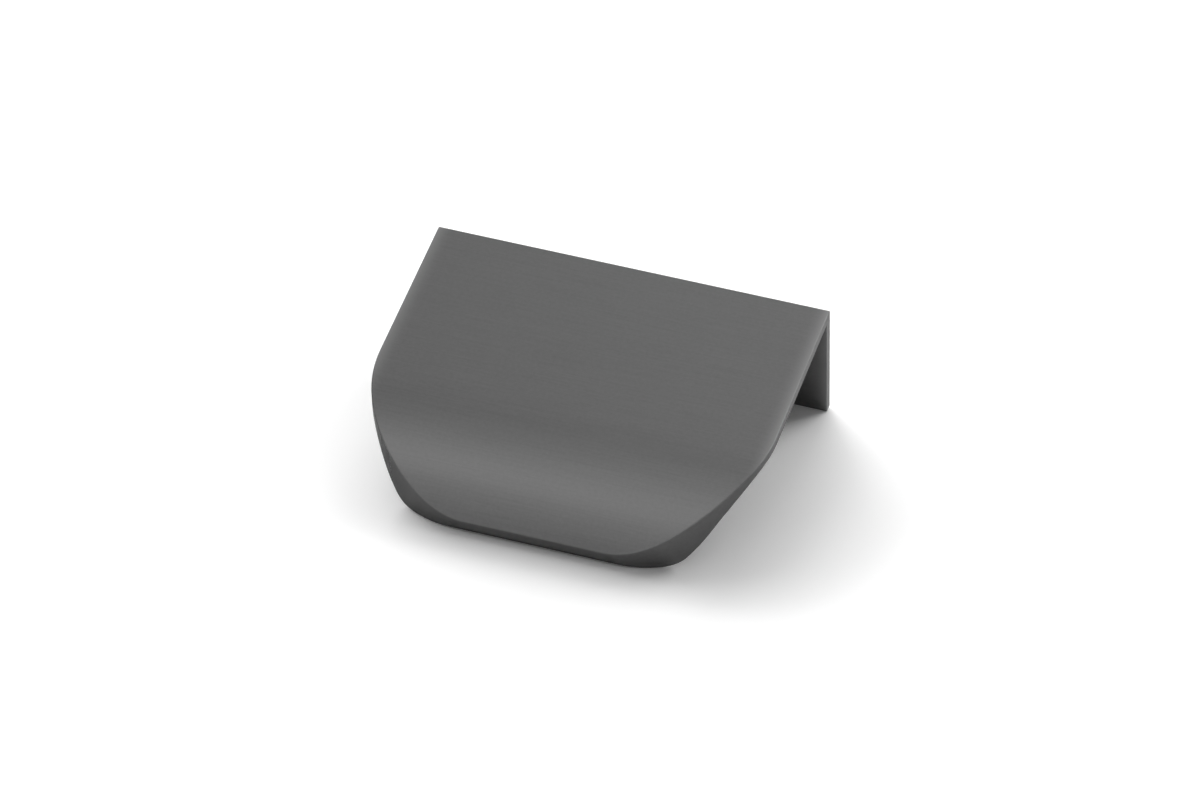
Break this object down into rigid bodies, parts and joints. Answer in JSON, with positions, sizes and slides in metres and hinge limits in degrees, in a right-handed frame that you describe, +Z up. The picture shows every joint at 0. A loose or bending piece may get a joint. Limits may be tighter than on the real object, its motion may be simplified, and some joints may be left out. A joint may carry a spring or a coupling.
{
  "type": "furniture handle",
  "caption": "Edge pull for a drawer front or cabinet door: a plate with a screw flange behind and a rounded lip curving down in front, dark anodised aluminium.",
  "frame": {"origin": "middle of the footprint, on the table that the loose pull lies on", "axes": "+X along the length and +Z up from the table. -Y is the lip's side and +Y the flange's. The pull lies as in the picture, on the flange's lower edge and the lip, which turns it 11.46 degrees about +X from the way it is fitted: turned back by that angle the plate is level and the flange upright."},
  "size_m": [0.06, 0.049, 0.0197],
  "materials": {
    "dark_anodised_aluminium": "fine brushed, dark grey anodised"
  },
  "bodies": {
    "root": {"pull": "dark_anodised_aluminium"}
  },
  "joints": []
}
